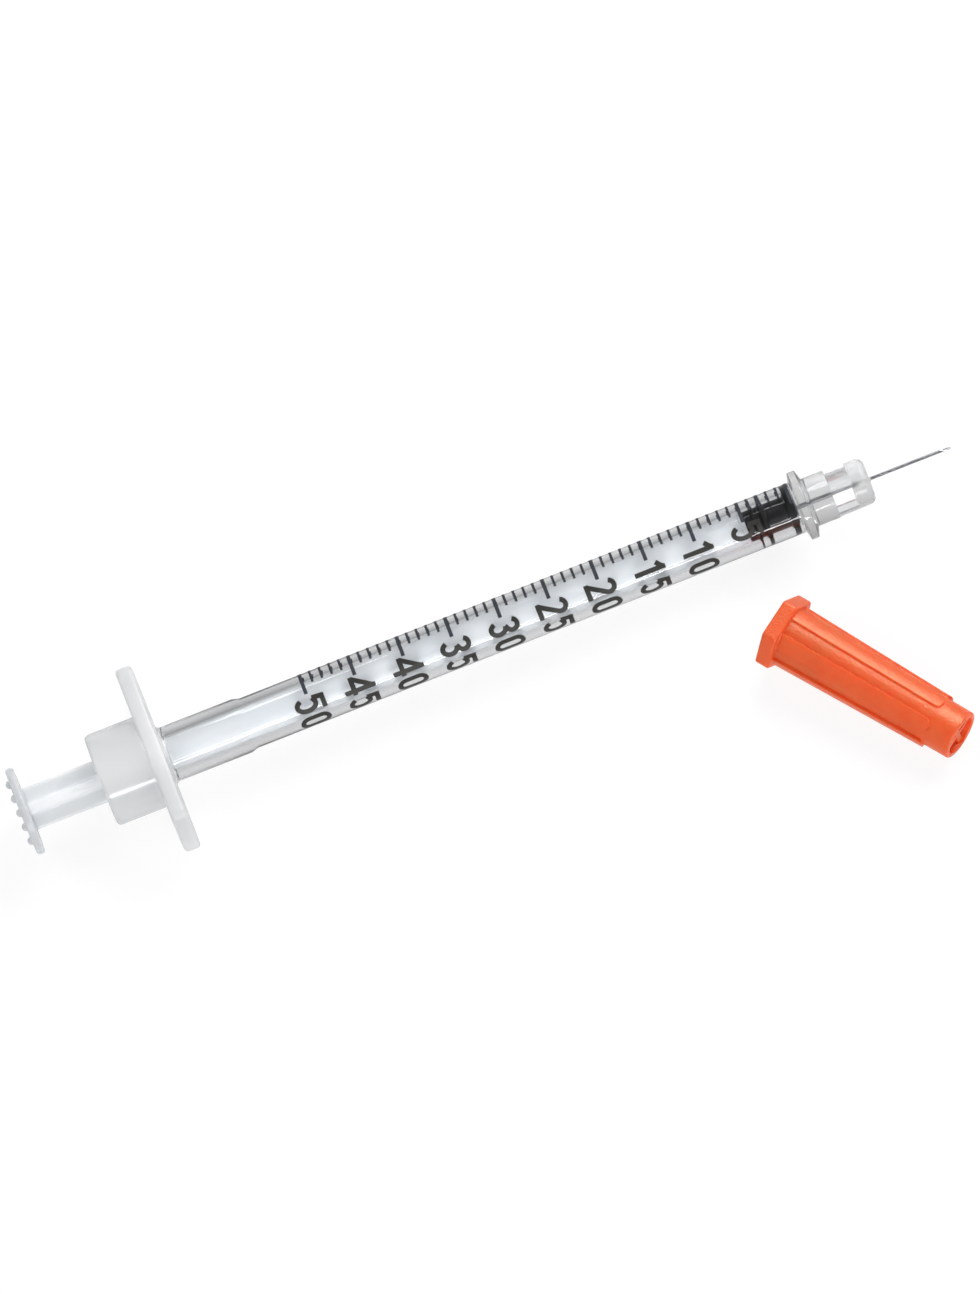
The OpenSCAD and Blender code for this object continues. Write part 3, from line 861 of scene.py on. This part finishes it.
def moulded_polypropylene():
    """Natural polypropylene from a polished mould: glassy and a touch grey where it is thin,
    milky in the thick flange and sleeve, and a little frosted at the nose."""
    material, tree, out, place = started("moulded_polypropylene")
    frost = along(tree, place, [
        (sleeve_rear_x, 0.35), (flange_rear_x - 0.2, 0.35), (flange_rear_x, 1.0), (flange_x, 1.0),
        (flange_x + 0.3, 0.02), (bore_end_x, 0.02), (0, 0.2), (shank_l, 0.45), (nose_front_x, 0.45)])
    milk = along(tree, place, [
        (sleeve_rear_x, 0.82), (flange_rear_x - 0.2, 0.82), (flange_rear_x, 1.0), (flange_x, 1.0),
        (flange_x + 0.3, 0.0), (bore_end_x, 0.0), (0, 0.1), (shank_l, 0.14), (nose_front_x, 0.2)])
    cloud = spots(tree, place, 3.0, stretch=(4, 1, 1))
    waves = spots(tree, place, 1.2, 1.0, stretch=(6, 1, 1))
    bump = add(tree, "ShaderNodeBump", {"Height": waves, "Strength": 0.02, "Distance": 0.0001})
    rough = reckon(tree, "ADD", ranged(tree, frost, 0.02, 0.36), between(tree, cloud, 0.0, 0.03))
    plastic = add(tree, "ShaderNodeBsdfPrincipled", {
        "Base Color": tones(tree, cloud, "#F1F3F5", "#F8F9FA"),
        "Roughness": rough, "IOR": 1.49,
        "Transmission Weight": ranged(tree, milk, 1.0, 0.3),
        "Subsurface Weight": 0.8, "Subsurface Radius": [1, 1, 1], "Subsurface Scale": 2.0 * MM,
        "Normal": bump.outputs[0]})
    lets_lamps_through(tree, out, plastic, ranged(tree, milk, 0.9, 0.4))
    body = add(tree, "ShaderNodeVolumeAbsorption", {"Color": (0.52, 0.52, 0.5, 1), "Density": 80})
    tree.links.new(body.outputs[0], out.inputs["Volume"])
    return material


def milky_rod_polypropylene():
    """Unpolished natural polypropylene of the rod: waxy white, with a soft gloss. The thumb disc and the
    shaft carry a painted shade: their base colour is darker than the grip's."""
    material, tree, out, place = started("milky_rod_polypropylene")
    cloud = spots(tree, place, 2.0, stretch=(3, 1, 1))
    grain = spots(tree, place, 0.12, 3.0)
    bump = add(tree, "ShaderNodeBump", {"Height": grain, "Strength": 0.05, "Distance": 0.00005})
    # Painted shade: the base colour is multiplied darker on the thumb disc and the shaft than on the
    # grip
    shade = along(tree, place, [
        (thumb_x - 0.05, 0.62), (thumb_x + 0.3, 1.0), (shoulder_x - 0.2, 1.0), (shoulder_x, 0.8),
        (stopper_x, 0.8)])
    natural = add(tree, "ShaderNodeHueSaturation", {
        "Color": tones(tree, cloud, "#EEF1F5", "#F5F7F9"), "Value": shade})
    plastic = add(tree, "ShaderNodeBsdfPrincipled", {
        "Base Color": natural.outputs[0],
        "Roughness": between(tree, cloud, 0.25, 0.33), "IOR": 1.49,
        "Subsurface Weight": 0.85, "Subsurface Radius": [1, 1, 1], "Subsurface Scale": 2.8 * MM,
        "Normal": bump.outputs[0]})
    lets_lamps_through(tree, out, plastic, 0.3)
    return material


def moulded_butyl_rubber():
    """Black butyl rubber with a thin film of silicone oil: deep black with soft highlights."""
    material, tree, out, place = started("moulded_butyl_rubber")
    grain = spots(tree, place, 0.06, 4.0)
    patches = spots(tree, place, 1.0)
    bump = add(tree, "ShaderNodeBump", {"Height": grain, "Strength": 0.15, "Distance": 0.00003})
    rubber = add(tree, "ShaderNodeBsdfPrincipled", {
        "Base Color": tones(tree, patches, "#0E0E0E", "#151616"),
        "Roughness": between(tree, patches, 0.46, 0.56),
        "IOR": 1.52, "Specular IOR Level": 0.25, "Normal": bump.outputs[0]})
    tree.links.new(rubber.outputs[0], out.inputs["Surface"])
    return material


def drawn_stainless_steel():
    """Stainless tube drawn through a die: grey metal with fine lines along its length."""
    material, tree, out, place = started("drawn_stainless_steel")
    lines = spots(tree, place, 0.02, 2.0, stretch=(40, 1, 1))
    bump = add(tree, "ShaderNodeBump", {"Height": lines, "Strength": 0.12, "Distance": 0.00001})
    steel = add(tree, "ShaderNodeBsdfPrincipled", {
        "Base Color": tones(tree, lines, "#7A7C7E", "#9C9EA1"),
        "Metallic": 1.0, "Roughness": between(tree, lines, 0.22, 0.34), "Normal": bump.outputs[0]})
    tree.links.new(steel.outputs[0], out.inputs["Surface"])
    return material


def cured_epoxy():
    """Clear epoxy, cured with a slightly cloudy, wetted surface."""
    material, tree, out, place = started("cured_epoxy")
    cloud = spots(tree, place, 0.4)
    bump = add(tree, "ShaderNodeBump", {"Height": cloud, "Strength": 0.1, "Distance": 0.00005})
    epoxy = add(tree, "ShaderNodeBsdfPrincipled", {
        "Base Color": tones(tree, cloud, "#F2F3F1", "#F9FAF8"), "Roughness": 0.12,
        "IOR": 1.5, "Transmission Weight": 0.5, "Normal": bump.outputs[0]})
    lets_lamps_through(tree, out, epoxy, 0.8)
    return material


def moulded_polyethylene():
    """Orange polyethylene from a satin mould: waxy, a little translucent, with a fine grain."""
    material, tree, out, place = started("moulded_polyethylene")
    cloud = spots(tree, place, 3.5)
    grain = spots(tree, place, 0.2, 4.0)
    bump = add(tree, "ShaderNodeBump", {"Height": grain, "Strength": 0.7, "Distance": 0.00008})
    plastic = add(tree, "ShaderNodeBsdfPrincipled", {
        "Base Color": tones(tree, cloud, "#EC5C24", "#EF632B"),
        "Roughness": between(tree, grain, 0.32, 0.44), "IOR": 1.55, "Specular IOR Level": 1.0,
        "Specular Tint": (1, 0.9, 0.6, 1),
        "Subsurface Weight": 1.0, "Subsurface Radius": [1.0, 0.2, 0.1],
        "Subsurface Scale": 1.3 * MM, "Normal": bump.outputs[0]})
    tree.links.new(plastic.outputs[0], out.inputs["Surface"])
    return material


def printed_ink(name, low, high):
    """Offset-printed epoxy ink: matt, a little uneven where the pad left it thin."""
    material, tree, out, place = started(name)
    patches = spots(tree, place, 0.25, 4.0)
    bump = add(tree, "ShaderNodeBump", {"Height": patches, "Strength": 0.2, "Distance": 0.00001})
    ink = add(tree, "ShaderNodeBsdfPrincipled", {
        "Base Color": tones(tree, patches, low, high),
        "Roughness": between(tree, patches, 0.45, 0.6), "IOR": 1.5, "Normal": bump.outputs[0]})
    tree.links.new(ink.outputs[0], out.inputs["Surface"])
    return material


# Camera, set by the photograph: the syringe lies turned in the frame and is seen from above

def camera():
    """Camera above the syringe, tipped back a little and rolled so that the needle points up
    and to the right."""
    tip, roll = math.radians(21), math.radians(21.47)
    distance = 2000
    frame_h = 124.2
    sensor_h = 36
    target = Vector((-33.61, -1.566, -0.6))
    up_table = Vector((0, math.cos(tip), math.sin(tip)))
    back = Vector((0, -math.sin(tip), math.cos(tip)))
    along = Vector((1, 0, 0))
    right = along * math.cos(roll) - up_table * math.sin(roll)
    up = along * math.sin(roll) + up_table * math.cos(roll)
    data = bpy.data.cameras.new("camera")
    data.sensor_fit = "VERTICAL"
    data.sensor_height = sensor_h
    data.lens = sensor_h * distance / frame_h
    data.clip_start, data.clip_end = 0.01, 10
    seen = bpy.data.objects.new("camera", data)
    bpy.context.scene.collection.objects.link(seen)
    turned = Matrix((right, up, back)).transposed().to_4x4()
    seen.matrix_world = Matrix.Translation((target + back * distance) * MM) @ turned
    bpy.context.scene.camera = seen


def table():
    """Pale satin table in the plane that the syringe and its cap lie on. It is white to the
    eye; what mirrors and clear plastic show of it is its own grey, dimmer at a slant."""
    half = 260
    clearance = 0.01
    middle_x = -30
    corners = [(-half, -half), (half, -half), (half, half), (-half, half)]
    top = piece_from("table", [(x * MM, y * MM, 0) for x, y in corners], [(0, 1, 2, 3)])
    top.data.transform(shift(flange_x, 0, -flange_half_w - clearance)
                       @ Matrix.Rotation(-rest_tilt, 4, "Y") @ shift(middle_x - flange_x, 0, 0))
    material, tree, out, place = started("pale_table")
    cloud = spots(tree, place, 40)
    paper = add(tree, "ShaderNodeBsdfDiffuse", {"Color": tones(tree, cloud, "#E8E9EA", "#ECEDEE")})
    white = add(tree, "ShaderNodeEmission", {"Strength": 1.08})
    slant = add(tree, "ShaderNodeLayerWeight", {"Blend": 0.5}).outputs["Facing"]
    glow = add(tree, "ShaderNodeEmission", {"Strength": ranged(tree, slant, 0.86, 0.2)})
    paths = add(tree, "ShaderNodeLightPath").outputs
    through = reckon(tree, "MAXIMUM", paths["Is Glossy Ray"], paths["Is Transmission Ray"])
    part = reckon(tree, "MULTIPLY", through, 0.85)
    seen_through = blend(tree, part, paper, glow)
    seen = blend(tree, 0.8, paper, white)
    mixed = blend(tree, paths["Is Camera Ray"], seen_through, seen)
    tree.links.new(mixed.outputs[0], out.inputs["Surface"])
    top.data.materials.append(material)


def surroundings():
    """Soft grey room, darker overhead. It is white to the camera, and nearly so to what the
    camera sees straight through clear plastic."""
    world = bpy.data.worlds.new("room")
    bpy.context.scene.world = world
    world.use_nodes = True
    tree = world.node_tree
    tree.nodes.clear()
    out = add(tree, "ShaderNodeOutputWorld")
    way = add(tree, "ShaderNodeTexCoord").outputs["Generated"]
    height = add(tree, "ShaderNodeSeparateXYZ", {0: way}).outputs["Z"]
    ramp = add(tree, "ShaderNodeValToRGB", {"Fac": height})
    ramp.color_ramp.elements[0].position = 0.0
    ramp.color_ramp.elements[0].color = linear("#C0C2C5")
    ramp.color_ramp.elements[1].position = 0.8
    ramp.color_ramp.elements[1].color = linear("#3A3C3E")
    room = add(tree, "ShaderNodeBackground", {"Color": ramp.outputs[0], "Strength": 1.0})
    white = add(tree, "ShaderNodeBackground", {"Color": (1, 1, 1, 1), "Strength": 1.0})
    paths = add(tree, "ShaderNodeLightPath").outputs
    turned = reckon(tree, "ADD", paths["Diffuse Depth"], paths["Glossy Depth"])
    straight = reckon(tree, "LESS_THAN", turned, 0.5)
    clear = reckon(tree, "MULTIPLY", paths["Is Transmission Ray"], straight)
    through = reckon(tree, "MULTIPLY", clear, 0.7)
    seen = reckon(tree, "MAXIMUM", paths["Is Camera Ray"], through)
    mixed = blend(tree, seen, room, white)
    tree.links.new(mixed.outputs[0], out.inputs["Surface"])


def lamp(name, place, width, height, power):
    """Soft box aimed at the middle of the syringe."""
    data = bpy.data.lights.new(name, "AREA")
    data.shape = "RECTANGLE"
    data.size, data.size_y = width * MM, height * MM
    data.energy = power
    box = bpy.data.objects.new(name, data)
    box.visible_camera = False
    bpy.context.scene.collection.objects.link(box)
    aim = Vector((-33, -5, 0)) - Vector(place)
    turn = aim.to_track_quat("-Z", "Y").to_matrix().to_4x4()
    box.matrix_world = Matrix.Translation(Vector(place) * MM) @ turn


def dress(piece, body, materials, nodes=()):
    """Gives a piece its materials and the body that it moves with."""
    piece.data.materials.clear()
    for material in materials:
        piece.data.materials.append(material)
    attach(piece, body)
    if nodes:
        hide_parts(*nodes)


camera()
table()
surroundings()
lamp("key_soft_box", (240, 225, 355), 420, 260, 2.2)
lamp("strip_box", (-40, -420, 190), 420, 30, 1.1)
lamp("fill_box", (-330, 130, 260), 260, 260, 0.5)

dress(barrel(), "syringe_barrel", [moulded_polypropylene()], ["barrel"])
dress(rod(), "plunger", [milky_rod_polypropylene()], ["plunger_rod"])
dress(stopper(), "stopper", [moulded_butyl_rubber()], ["stopper"])
dress(needle(), "syringe_barrel", [drawn_stainless_steel()], ["needle"])
dress(glue(), "syringe_barrel", [cured_epoxy()], ["needle_adhesive"])
line_ink = printed_ink("line_ink", "#262A33", "#30343D")
dress(scale(), "syringe_barrel", [line_ink], ["scale_lines"])
number_ink = printed_ink("number_ink", "#282724", "#33312D")
for number in numbers():
    dress(number, "syringe_barrel", [number_ink])
dress(cap(), "cap", [moulded_polyethylene()], ["needle_cap"])

bpy.context.scene.view_settings.view_transform = "Standard"

bpy.context.view_layer.update()
